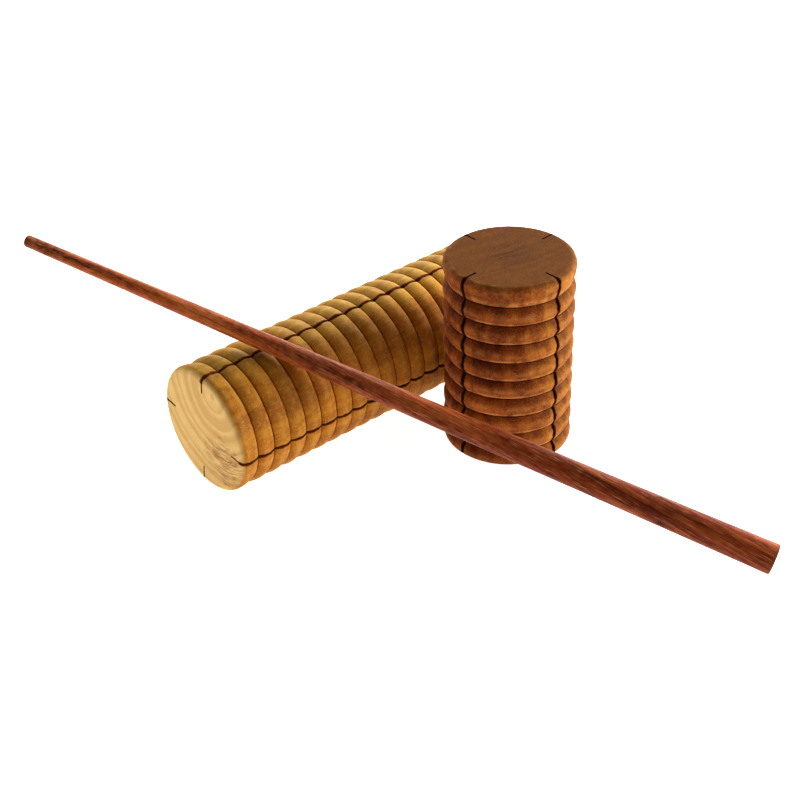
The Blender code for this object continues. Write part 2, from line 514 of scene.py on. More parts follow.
class Wood(Enum):
    """The three kinds of wood."""

    GOLDEN = WoodFinish(
        early="#ba8512",
        late="#9a660a",
        streak="#7a4e0f",
        light="#c9a225",
        end_early="#efc67c",
        end_late="#cf9a54",
        end_dash="#96592e",
        dark_and_shade="#6a2c0e",
        worn_and_highlight="#dab460",
        tan="#ffd2c6",
        heart=(-9.4 * MM, 19.6 * MM, 0.0),
        lean=(0.03, 0.02, 0.0),
        ring_width=5.3 * MM,
        wander=2.0 * MM,
        ring_share=0.35,
        end_ring_share=0.75,
        dash_spot=(-13.0 * MM, -9.0 * MM, 0.0),
        dash_spread=17.0 * MM,
        fineness=1500.0,
        stretch=0.14,
        twist=0.0,
        pore_share=0.34,
        pore_strength=0.35,
        streak_share=0.35,
        mottle_share=0.45,
        figure_share=0.45,
        speck_share=0.40,
        speck_shortness=6.0,
        shade_share=0.20,
        highlight_share=0.20,
        shade_reach=0.45,
        wear_amount=0.25,
        roughness=0.68,
        relief=2.4,
        gloss=0.10,
        seed=3.0,
    )
    RED_BROWN = WoodFinish(
        early="#925411",
        late="#73380c",
        streak="#56250f",
        light="#ab6e1d",
        end_early="#6e3e0c",
        end_late="#5a3007",
        end_dash="#49270f",
        dark_and_shade="#34100a",
        worn_and_highlight="#d2904c",
        tan="#efb6bc",
        heart=(18.0 * MM, 88.0 * MM, 0.0),
        lean=(-0.02, 0.05, 0.0),
        ring_width=7.0 * MM,
        wander=5.0 * MM,
        ring_share=0.35,
        end_ring_share=0.45,
        dash_spot=(0.0, 0.0, 0.0),
        dash_spread=12.0 * MM,
        fineness=1700.0,
        stretch=0.24,
        twist=0.0,
        pore_share=0.42,
        pore_strength=0.45,
        streak_share=0.35,
        mottle_share=0.8,
        figure_share=0.8,
        speck_share=0.5,
        speck_shortness=6.0,
        shade_share=0.45,
        highlight_share=0.45,
        shade_reach=0.5,
        wear_amount=0.3,
        roughness=0.70,
        relief=3.0,
        gloss=0.04,
        seed=11.0,
    )
    DARK_RED = WoodFinish(
        early="#af4b18",
        late="#722106",
        streak="#3c0e04",
        light="#e87e36",
        end_early="#7a4a34",
        end_late="#55291a",
        end_dash="#3a180e",
        dark_and_shade="#200a05",
        worn_and_highlight="#e48442",
        tan="#c3b0bc",
        heart=(14.0 * MM, 9.0 * MM, 0.0),
        lean=(0.06, -0.04, 0.0),
        ring_width=2.6 * MM,
        wander=2.6 * MM,
        ring_share=0.60,
        end_ring_share=0.60,
        dash_spot=(0.0, 0.0, 0.0),
        dash_spread=9.0 * MM,
        fineness=1900.0,
        stretch=0.05,
        twist=-23.0,
        pore_share=0.46,
        pore_strength=0.6,
        streak_share=0.85,
        mottle_share=0.45,
        figure_share=0.85,
        speck_share=0.55,
        speck_shortness=1.3,
        shade_share=0.0,
        highlight_share=0.0,
        shade_reach=0.5,
        wear_amount=0.35,
        roughness=0.55,
        relief=4.0,
        gloss=0.08,
        seed=23.0,
    )


# How strongly each effect shows in a wood's colour, roughness and relief.
RING_TONE_SHARE = 0.25
END_BLOTCH_SHARE = 0.5
DASH_SHARE = 0.8
END_SPECK_LOSS = 0.65
# How much the mottle breaks up the painted shade on one half of each rib, and the most that the mottle leaves
# of the painted highlight on the other half.
SHADE_BREAK_UP = 0.45
MOST_HIGHLIGHT = 1.2
STREAK_ROUGHNESS = 0.30
SCORCH_ROUGHNESS = 0.30
SAWN_ROUGHNESS = 0.12
WORN_SMOOTHNESS = 0.10
STREAK_HEIGHT = 0.6
TURNED_HEIGHT = 0.30
SAWN_HEIGHT = 0.9
SPECK_HEIGHT = 0.30
PORE_DEPTH = 0.5
DASH_DEPTH = 0.4
BUMP_STRENGTH = 0.7
BUMP_DEPTH = 0.07 * MM


def wood_material(
    name: str, wood: WoodFinish, effects: WoodEffects, into_grain: Matrix
) -> bpy.types.Material:
    """Builds one wood's material from the shared effects.

    Args:
        name: The material's name.
        wood: The wood's finish.
        effects: The shared node groups.
        into_grain: Takes a place on the object into the frame whose Z runs along the grain.

    Returns:
        The material.
    """
    material = bpy.data.materials.new(name)
    material.use_nodes = True
    net = Net(material.node_tree)
    shader = material.node_tree.nodes["Principled BSDF"]
    place = net.add("ShaderNodeTexCoord", {}).outputs["Object"]
    turn = {"Vector": place, "Location": into_grain.translation, "Rotation": into_grain.to_euler()}
    place = net.add("ShaderNodeMapping", turn).outputs[0]
    rings = net.group(
        effects.rings,
        {
            "Vector": place,
            "Heart": wood.heart,
            "Lean": wood.lean,
            "Ring Width": wood.ring_width,
            "Wander": wood.wander,
            "Dash Spot": wood.dash_spot,
            "Dash Spread": wood.dash_spread,
            "Seed": wood.seed,
        },
    )
    grain = net.group(
        effects.fibres,
        {
            "Vector": place,
            "Fineness": wood.fineness,
            "Stretch": wood.stretch,
            "Twist": wood.twist,
            "Pore Share": wood.pore_share,
            "Speck Shortness": wood.speck_shortness,
            "Seed": wood.seed,
        },
    )
    dark_and_shade = net.group(effects.dark_and_shade, {"Vector": place, "Reach": wood.shade_reach})["Shade And Scorch"]
    wear = net.group(effects.wear, {"Vector": place, "Amount": wood.wear_amount})["Wear"]
    end = net.mark("end")
    marks = net.group(effects.marks, {"Vector": place, "End Face": end})["Height"]

    late, tone, dashes = rings["Late Wood"], rings["Ring Tone"], rings["Dashes"]
    streaks, pores, mottle, specks = (grain[label] for label in ("Streaks", "Pores", "Mottle", "Specks"))
    ring = net.plus(net.times(late, 1.0 - RING_TONE_SHARE), net.times(tone, RING_TONE_SHARE))
    streak = net.step(streaks, *STREAK_EDGE)
    blotch = net.step(mottle, *BLOTCH_EDGE)
    figured = net.step(grain["Figure"], *LIGHT_FIGURE)
    shaded = net.minus(1.0, net.step(grain["Figure"], *DARK_FIGURE))

    def tinted(base: Feed, mask: Feed, strength: float, tint: str) -> bpy.types.NodeSocket:
        """A colour that turns towards a tint where a mask lies."""
        return net.mix(net.times(mask, strength), base, linear(tint))

    side = tinted(linear(wood.early), ring, wood.ring_share, wood.late)
    side = tinted(side, blotch, wood.mottle_share, wood.late)
    side = tinted(side, figured, wood.figure_share, wood.light)
    side = tinted(side, shaded, wood.streak_share, wood.streak)
    side = tinted(side, streak, wood.streak_share, wood.streak)
    # Painted shade on a cylinder: the side facing one angle turns redder and darker. On the stick the same
    # mark gives the thick end its darker tone.
    side = net.mix(net.mark("tan"), side, linear(wood.tan), "MULTIPLY")
    cut = tinted(linear(wood.end_early), ring, wood.end_ring_share, wood.end_late)
    cut = tinted(cut, blotch, END_BLOTCH_SHARE * wood.mottle_share, wood.end_late)
    cut = tinted(cut, dashes, DASH_SHARE, wood.end_dash)
    colour = net.mix(end, side, cut)
    colour = tinted(colour, pores, wood.pore_strength, wood.streak)
    few = net.times(specks, net.minus(1.0, net.times(end, END_SPECK_LOSS)))
    colour = tinted(colour, few, wood.speck_share, wood.worn_and_highlight)
    # Painted shade: one half of each rib darkens towards the dark colour.
    painted_shade = net.plus(1.0 - SHADE_BREAK_UP, net.times(blotch, SHADE_BREAK_UP))
    colour = tinted(colour, net.times(net.mark("painted_shade"), painted_shade), wood.shade_share, wood.dark_and_shade)
    # Painted highlight: the other half of each rib turns towards the pale worn colour.
    painted_highlight = net.times(net.mark("painted_highlight"), net.minus(MOST_HIGHLIGHT, blotch))
    colour = tinted(colour, painted_highlight, wood.highlight_share, wood.worn_and_highlight)
    colour = net.mix(wear, colour, linear(wood.worn_and_highlight))
    colour = net.mix(net.mark("knot"), colour, linear(wood.dark_and_shade))
    # Painted shade, with some scorch, darkens grooves and kerfs.
    colour = net.mix(dark_and_shade, colour, linear(wood.dark_and_shade))
    net.tree.links.new(colour, shader.inputs["Base Color"])

    rough = net.plus(wood.roughness, net.times(net.minus(streaks, 0.5), STREAK_ROUGHNESS))
    rough = net.plus(rough, net.times(dark_and_shade, SCORCH_ROUGHNESS))
    rough = net.plus(rough, net.times(end, SAWN_ROUGHNESS))
    rough = net.minus(rough, net.times(wear, WORN_SMOOTHNESS))
    net.tree.links.new(rough, shader.inputs["Roughness"])

    lines = net.times(marks, net.plus(TURNED_HEIGHT, net.times(end, SAWN_HEIGHT)))
    height = net.plus(net.times(streaks, STREAK_HEIGHT), lines)
    height = net.plus(height, net.times(specks, SPECK_HEIGHT))
    height = net.minus(height, net.times(pores, PORE_DEPTH))
    height = net.minus(height, net.times(dashes, DASH_DEPTH))
    relief = {"Strength": BUMP_STRENGTH, "Distance": BUMP_DEPTH * wood.relief, "Height": height}
    bump = net.add("ShaderNodeBump", relief)
    net.tree.links.new(bump.outputs["Normal"], shader.inputs["Normal"])
    shader.inputs["Specular IOR Level"].default_value = wood.gloss
    return material


# Mesh code


# Where the parts of an unrolled piece lie on the map for baking: left, bottom, width and height.
SIDE_PATCH = (0.02, 0.02, 0.96, 0.56)
KERF_PATCH = (0.80, 0.62, 0.17, 0.36)
KERF_WALL_WIDTH = 0.06
FOOT_DISC, TOP_DISC = 0.20, 0.58
DISC_HEIGHT = 0.80
DISC_RADIUS = 0.18


@dataclass
class Skin:
    """A mesh in the making: points, faces, and what each point is marked with."""

    points: list[Vector] = field(default_factory=list)
    faces: list[tuple[int, ...]] = field(default_factory=list)
    ends: list[bool] = field(default_factory=list)
    marks: dict[str, dict[int, float]] = field(default_factory=dict)

    def point(self, place: Vector, **marks: float) -> int:
        """Adds a point.

        Args:
            place: Where it is.
            **marks: Numbers for the materials to read. What is left out counts as 0.

        Returns:
            The point's number.
        """
        self.points.append(place)
        number = len(self.points) - 1
        for name, value in marks.items():
            self.marks.setdefault(name, {})[number] = value
        return number

    def bridge(
        self, lower: list[int], upper: list[int], closed: bool, flip: bool = False, end: bool = False
    ) -> None:
        """Joins two rows of as many points with a strip of faces.

        Args:
            lower: The first row.
            upper: The second row.
            closed: Whether the rows are rings.
            flip: Whether the faces look the other way.
            end: Whether they lie on an end face.
        """
        count = len(lower)
        for i in range(count if closed else count - 1):
            j = (i + 1) % count
            face = (lower[i], lower[j], upper[j], upper[i])
            self.faces.append(face[::-1] if flip else face)
            self.ends.append(end)

    def fan(self, ring: list[int], centre: int, flip: bool) -> None:
        """Closes a ring with a fan of triangles to one centre point."""
        for i, first in enumerate(ring):
            face = (first, ring[(i + 1) % len(ring)], centre)
            self.faces.append(face[::-1] if flip else face)
            self.ends.append(True)

    def lay_flat(self, mesh: bpy.types.Mesh) -> None:
        """Lays the skin out flat for baking: the side unrolled, the kerf walls and end faces beside it.

        Args:
            mesh: The finished mesh, its faces in the skin's order.
        """
        places = np.array([tuple(point) for point in self.points])
        corners = np.array([corner for face in self.faces for corner in face])
        owner = np.repeat(np.arange(len(self.faces)), [len(face) for face in self.faces])
        starts = np.cumsum([0, *(len(face) for face in self.faces)])[:-1]
        kerf = np.zeros(len(self.points), dtype=bool)
        kerf[[n for n, value in self.marks.get("kerf", {}).items() if value >= 1.0]] = True
        x, y, z = places[corners].T
        length, radius = places[:, 2].max(), np.hypot(places[:, 0], places[:, 1]).max()
        angle = np.arctan2(y, x)
        angle += math.tau * np.round((angle[starts][owner] - angle) / math.tau)
        left, low, wide, tall = SIDE_PATCH
        flat = np.stack([left + wide * (0.5 + angle / math.tau), low + tall * z / length], axis=1)
        in_kerf = np.logical_and.reduceat(kerf[corners], starts)[owner]
        facing = np.empty(3 * len(self.faces), dtype=np.float32)
        mesh.polygons.foreach_get("normal", facing)
        facing = facing.reshape(-1, 3)[owner]
        out = np.hypot(x, y)
        wall = -np.round((x * facing[:, 1] - y * facing[:, 0]) / np.maximum(out, MM))
        left, low, wide, tall = KERF_PATCH
        rise = wall * KERF_WALL_WIDTH * (out - out[in_kerf].min(initial=radius)) / radius
        strip = left + wide * (0.5 + angle / math.tau) + rise
        flat[in_kerf] = np.stack([strip, low + tall * z / length], axis=1)[in_kerf]
        on_end = np.array(self.ends)[owner]
        middle = np.where(z > 0.5 * length, TOP_DISC, FOOT_DISC)
        disc = [middle + DISC_RADIUS * x / radius, DISC_HEIGHT + DISC_RADIUS * y / radius]
        disc = np.stack(disc, axis=1)
        flat[on_end] = disc[on_end]
        mesh.uv_layers.new(name=BAKE_MAP).data.foreach_set("uv", flat.astype(np.float32).ravel())

    def to_object(self, name: str, material: bpy.types.Material, sharp: float) -> bpy.types.Object:
        """Makes the mesh and its object.

        Args:
            name: The object's name.
            material: Its material.
            sharp: Edges that turn by more than this angle are shaded sharp.

        Returns:
            The object, linked to the scene.
        """
        mesh = bpy.data.meshes.new(name)
        mesh.from_pydata(self.points, [], self.faces)
        self.lay_flat(mesh)
        for label, values in self.marks.items():
            layer = mesh.attributes.new(label, "FLOAT", "POINT")
            numbers = [0.0] * len(self.points)
            for i, value in values.items():
                numbers[i] = value
            layer.data.foreach_set("value", numbers)
        mesh.shade_smooth()
        mesh.set_sharp_from_angle(angle=sharp)
        mesh.materials.append(material)
        made = bpy.data.objects.new(name, mesh)
        bpy.context.scene.collection.objects.link(made)
        return made


# How much and how fast the hands of the turner and the sawyer stray: a share or an angle, and its
# changes for each rib or for each metre.
GROOVE_STRAY = (0.6, 1.7)
CROWN_STRAY = (0.10, 2.3)
KERF_SWAY = (0.0035, 45.0)
KERF_JITTER = (0.0050, 190.0)
WALL_STRAY = (0.22, 330.0)
LIP_STRAY = (1.1, 620.0)
DEPTH_STRAY = (0.02, 60.0)

# How fast the turned surface swells, round the piece and for each metre along it.
BROAD_SWELL = (3.2, 170.0)
FINE_SWELL = (9.0, 420.0)
FINE_SWELL_SHARE = 0.5

# How fast a whole rib leans, round the piece and from rib to rib.
RIB_LEAN = (1.3, 1.9)

# Painted shade and scorch on a rib's flank: where it starts, over how much of the rib it grows, and its share
# of the whole.
FLANK_START, FLANK_SPAN, FLANK_SHADE, SLIT_SHADE = 0.72, 0.28, 0.55, 0.45

# How wear fades from a rib's crest, how painted shade and painted highlight grow towards a groove, and the
# wear of an end's rim.
EDGE_FADE = 1.6
SHADE_GROWTH, SHADE_START = 1.3, 0.1
HIGHLIGHT_START, HIGHLIGHT_SPAN = 0.45, 0.3
ROUNDING_WEAR = 0.6

# How far each point near a kerf's lip counts as kerf, and the lip's usual and least size, times its own.
LIP_OUTSIDE, LIP_MIDDLE, BESIDE_LIP = 0.90, 0.97, 0.3
USUAL_LIP, LEAST_LIP = 1.3, 0.4

# Over how much of an end's rounding its end grain fades into the side's.
END_FADE = 0.6

# Edges that turn by more than this are shaded sharp.

CYLINDER_SHARP_ANGLE = math.radians(38)
STICK_SHARP_ANGLE = math.radians(50)


@dataclass(frozen=True)
class Row:
    """One ring of a ribbed cylinder's side: its height, how far it is sunk, and what it lies on."""

    height: float
    sunk: float
    groove: float
    edge: float
    rib: float
    # How much painted shade and painted highlight the ring carries.
    painted_shade: float = 0.0
    painted_highlight: float = 0.0


@dataclass
class RibbedCylinder:
    """A solid wooden cylinder with crowned ribs, a thin groove between them and lengthways kerfs."""

    node: str
    wood: Wood
    slot: str
    length: float
    radius: float
    place: Matrix
    foot_rib: float
    top_rib: float
    rib_count: int
    crown: float
    rounding: float
    kerf_depth: float
    kerf_turn: float
    # The angle of the side that takes the painted shade tint, and whether each rib's painted shade lies on
    # its lower half rather than its upper.
    shade_side: float
    shade_below: bool
    seed: float
    kerf_width: float = 0.8 * MM
    kerf_count: int = 4
    slit_depth: float = 0.35 * MM
    slit_half_width: float = 0.33 * MM
    lip: float = 0.20 * MM
    slip: float = 0.16 * MM
    unevenness: float = 0.08 * MM
    rib_steps: int = 12
    rounding_steps: int = 8
    sector_steps: int = 52
    wall_levels: tuple[float, ...] = (0.0, 0.10, 0.28, 0.52, 0.78, 1.0)
    face_rings: tuple[float, ...] = (0.975, 0.85, 0.66, 0.45, 0.22)

    @property
    def grooves(self) -> list[float]:
        """Heights of the grooves between ribs."""
        pitch = (self.length - self.foot_rib - self.top_rib) / (self.rib_count - 2)
        heights = [self.foot_rib + pitch * i for i in range(self.rib_count - 1)]
        share, grain = GROOVE_STRAY
        return [z + self.slip * share * wavering(i, self.seed, grain) for i, z in enumerate(heights)]

    def crown_drop(self, share: float, rib: int) -> float:
        """How far a rib's surface lies under its crest, share being -1 to 1 across the rib."""
        amount, grain = CROWN_STRAY
        return self.crown * (1.0 + amount * wavering(rib, self.seed + 3.0, grain)) * share * share

    def rows(self) -> list[Row]:
        """Every ring of the side, from the foot face's rim to the top face's."""
        rows = [self.rounded_row(i, 0.0, 1.0, 0) for i in range(self.rounding_steps)]
        grooves = self.grooves
        between = [0.5 * (a + b) for a, b in zip(grooves, grooves[1:])]
        crests = [self.rounding, *between, self.length - self.rounding]
        for rib, crest in enumerate(crests):
            low = grooves[rib - 1] if rib else None
            high = grooves[rib] if rib < len(grooves) else None
            if low is not None:
                rows += self.slope_rows(low, crest, rib, rising=True)
            rows.append(Row(crest, self.crown_drop(0.0, rib), 0.0, 1.0, rib))
            if high is not None:
                rows += self.slope_rows(high, crest, rib, rising=False)
                rows.append(Row(high, self.crown_drop(1.0, rib) + self.slit_depth, 1.0, 0.0, rib + 0.5))
        last = self.rib_count - 1
        rows += [self.rounded_row(i, self.length, -1.0, last) for i in reversed(range(self.rounding_steps))]
        return rows

    def rounded_row(self, number: int, face: float, inward: float, rib: int) -> Row:
        """One ring of the rounded edge of an end face, number 0 being the face's rim."""
        angle = 0.5 * math.pi * number / self.rounding_steps
        height = face + inward * self.rounding * (1.0 - math.cos(angle))
        return Row(height, self.rounding * (1.0 - math.sin(angle)), 0.0, ROUNDING_WEAR, rib)

    def slope_rows(self, groove: float, crest: float, rib: int, rising: bool) -> list[Row]:
        """The rings between a groove and a crest, in the order of their height."""
        reach = crest - groove
        slit = self.slit_half_width / abs(reach)
        steps = self.rib_steps // 2
        flank = 1.0 - slit
        shares = [1.0 - 0.5 * slit, flank, *(flank - flank * i / steps for i in range(1, steps))]
        # Painted shade lies on one half of each rib and a painted highlight on the other.
        in_shade = rising == self.shade_below
        found = []
        for share in shares:
            into_slit = max(0.0, 1.0 - (1.0 - share) / slit)
            painted_highlight = ease((share - HIGHLIGHT_START) / HIGHLIGHT_SPAN) * (1.0 - into_slit)
            found.append(
                Row(
                    height=crest - reach * share,
                    sunk=self.crown_drop(share, rib) + self.slit_depth * into_slit,
                    groove=FLANK_SHADE * ease((share - FLANK_START) / FLANK_SPAN) + SLIT_SHADE * into_slit,
                    edge=1.0 - ease(share * EDGE_FADE),
                    rib=rib - 0.5 * share if rising else rib + 0.5 * share,
                    painted_shade=ease(share * SHADE_GROWTH - SHADE_START) if in_shade else 0.0,
                    painted_highlight=0.0 if in_shade else painted_highlight,
                )
            )
        return found if rising else found[::-1]

    def surface(self, angle: float, row: Row) -> tuple[float, float]:
        """Radius and height of the turned surface, with the small unevenness of handwork.

        Args:
            angle: Round the axis.
            row: The ring that the point lies on.

        Returns:
            The radius and the height.
        """
        around = Vector((math.cos(angle), math.sin(angle), 0.0))
        turn, run = BROAD_SWELL
        rough = noise.noise(around * turn + Vector((0.0, 0.0, row.height * run + self.seed)))
        turn, run = FINE_SWELL
        fine = noise.noise(around * turn + Vector((5.0, 0.0, row.height * run + self.seed)))
        rough += FINE_SWELL_SHARE * fine
        radius = self.radius - row.sunk - self.unevenness * (1.0 + min(max(rough, -1.0), 1.0))
        inner = ease(min(row.height, self.length - row.height) / self.rounding)
        turn, run = RIB_LEAN
        slide = self.slip * noise.noise(around * turn + Vector((0.0, 9.0, row.rib * run + self.seed)))
        return radius, row.height + inner * slide

    def kerf_angle(self, kerf: int, height: float) -> float:
        """Where a kerf runs at a height: a saw by hand strays a little."""
        amount, grain = KERF_SWAY
        stray = amount * wavering(height, self.seed + kerf, grain)
        amount, grain = KERF_JITTER
        stray += amount * wavering(height, self.seed + kerf + 0.4, grain)
        return self.kerf_turn + math.tau * kerf / self.kerf_count + stray

    def wall(self, kerf: int, side: float, row: Row) -> list[tuple[Vector, dict[str, float]]]:
        """Points down one wall of a kerf, from its lip to its bottom corner.

        Args:
            kerf: Which kerf.
            side: 1 for the wall on the anticlockwise side, and -1 for the other one.
            row: The ring that the points lie on.

        Returns:
            Each point with its marks.
        """
        angle = self.kerf_angle(kerf, row.height)
        out = Vector((math.cos(angle), math.sin(angle), 0.0))
        beside = Vector((-out.y, out.x, 0.0)) * side
        amount, grain = WALL_STRAY
        stray = amount * wavering(row.height, kerf + 2.0 * side + self.seed, grain)
        half = 0.5 * self.kerf_width * (1.0 + stray)
        amount, grain = LIP_STRAY
        chip = amount * wavering(row.height, kerf + 5.0 * side + self.seed, grain)
        lip = self.lip * max(LEAST_LIP, USUAL_LIP + chip)
        top, height = self.surface(angle + side * half / self.radius, row)
        amount, grain = DEPTH_STRAY
        stray = amount * wavering(row.height, kerf + self.seed, grain)
        bottom = self.radius - self.kerf_depth * (1.0 + stray)
        up = Vector((0.0, 0.0, height))
        bend = lip * (1.0 - math.cos(0.25 * math.pi))
        outside = out * top + beside * (half + lip) + up
        middle = out * (top - bend) + beside * (half + bend) + up
        points = [
            (outside, {"kerf": LIP_OUTSIDE, "groove": row.groove}),
            (middle, {"kerf": LIP_MIDDLE, "groove": row.groove}),
        ]
        for level in self.wall_levels:
            depth = (top - lip) + level * (bottom - top + lip)
            points.append((out * depth + beside * half + up, {"kerf": 1.0}))
        return points

    def ring(self, skin: Skin, row: Row) -> list[list[int]]:
        """Adds the points of one ring, kerf walls and all.

        Args:
            skin: The mesh in the making.
            row: The ring.

        Returns:
            For each sector between two kerfs, its points from one kerf's bottom to the next one's.
        """
        end = 1.0 - ease(min(row.height, self.length - row.height) / (END_FADE * self.rounding))
        sectors = []
        for kerf in range(self.kerf_count):
            before = self.wall(kerf, 1.0, row)
            after = self.wall((kerf + 1) % self.kerf_count, -1.0, row)
            numbers = [skin.point(place, end=end, **marks) for place, marks in reversed(before)]
            start = math.atan2(before[0][0].y, before[0][0].x)
            span = (math.atan2(after[0][0].y, after[0][0].x) - start) % math.tau
            for i in range(1, self.sector_steps):
                angle = start + span * i / self.sector_steps
                radius, height = self.surface(angle, row)
                place = Vector((radius * math.cos(angle), radius * math.sin(angle), height))
                # The tint is painted shade, strongest where the surface faces the given side angle; the ring
                # also carries its painted shade and painted highlight.
                tan = ease(math.cos(angle - self.shade_side))
                near = {"groove": row.groove, "edge": row.edge, "painted_shade": row.painted_shade, "painted_highlight": row.painted_highlight, "tan": tan}
                near["kerf"] = BESIDE_LIP if i in (1, self.sector_steps - 1) else 0.0
                numbers.append(skin.point(place, end=end, **near))
            numbers += [skin.point(place, end=end, **marks) for place, marks in after]
            sectors.append(numbers)
        return sectors

    def face(self, skin: Skin, sectors: list[list[int]], top: bool) -> None:
        """Closes one end with a flat face that the kerfs run into.

        Args:
            skin: The mesh in the making.
            sectors: The ring at the face's rim.
            top: Whether it is the top face.
        """
        deep = len(self.wall_levels)
        height = self.length if top else 0.0
        inner: list[int] = []
        for numbers in sectors:
            first, last = numbers[:deep][::-1], numbers[-deep:]
            upper = numbers[deep - 1 : len(numbers) - deep + 1]
            angles = [math.atan2(skin.points[n].y, skin.points[n].x) for n in upper]
            span = (angles[-1] - angles[0]) % math.tau
            shares = [((angle - angles[0]) % math.tau) / span for angle in angles]
            for left, right in zip(first[1:], last[1:]):
                a, b = skin.points[left], skin.points[right]
                start = math.atan2(a.y, a.x)
                sweep = (math.atan2(b.y, b.x) - start) % math.tau
                lower = [left]
                for share in shares[1:-1]:
                    angle = start + sweep * share
                    radius = math.hypot(a.x, a.y) * (1.0 - share) + math.hypot(b.x, b.y) * share
                    place = Vector((radius * math.cos(angle), radius * math.sin(angle), height))
                    lower.append(skin.point(place, end=1.0))
                lower.append(right)
                skin.bridge(upper, lower, closed=False, flip=not top, end=True)
                upper = lower
            inner += upper
        for scale in self.face_rings:
            radius = scale * (self.radius - self.kerf_depth)
            ring = []
            for n in inner:
                angle = math.atan2(skin.points[n].y, skin.points[n].x)
                place = Vector((radius * math.cos(angle), radius * math.sin(angle), height))
                ring.append(skin.point(place, end=1.0))
            skin.bridge(inner, ring, closed=True, flip=not top, end=True)
            inner = ring
        skin.fan(inner, skin.point(Vector((0.0, 0.0, height)), end=1.0), flip=not top)

    def build(self) -> Skin:
        """Builds the whole piece's mesh in its own frame, with its foot face at Z 0."""
        skin = Skin()
        rows = self.rows()
        rings = [self.ring(skin, row) for row in rows]
        for lower, upper in zip(rings, rings[1:]):
            skin.bridge(sum(lower, []), sum(upper, []), closed=True)
        self.face(skin, rings[0], top=False)
        self.face(skin, rings[-1], top=True)
        return skin

    def dress(self, effects: WoodEffects) -> bpy.types.Object:
        """Builds the piece, gives it its wood, and puts it in the CAD node's place.

        Args:
            effects: The shared node groups.

        Returns:
            The finished piece.
        """
        material = wood_material(self.slot, self.wood.value, effects, Matrix())
        piece = self.build().to_object(self.node + "_wood", material, CYLINDER_SHARP_ANGLE)
        piece.matrix_world = self.place
        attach(piece, self.node)
        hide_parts(self.node)
        return piece


# The stick's knot: a ring-shaped swelling round a pit, with how tall and how narrow each is.
KNOT_SWELL, KNOT_SWELL_AWAY, KNOT_SWELL_NARROWNESS = 0.22 * MM, 1.1, 3.0
KNOT_PIT, KNOT_PIT_NARROWNESS = 0.45 * MM, 4.0
KNOT_DARKNESS, KNOT_DARK_NARROWNESS = 0.95, 1.8
KNOT_MOST_RAISED = 0.1 * MM

# How fast the stick's surface swells, round it and for each metre along it, and how much it counts.
STICK_BROAD_SWELL = (1.6, 22.0)
STICK_FINE_SWELL = (4.5, 160.0)
STICK_FINE_SHARE = 0.4
STICK_MOST_SWELL = 0.6

# How wear and the darker tone change from the thick end to the thin one.
STICK_LEAST_WEAR, STICK_WEAR_START = 0.25, 0.1
STICK_TAN_FADE, STICK_TAN_START = 1.6, 0.45


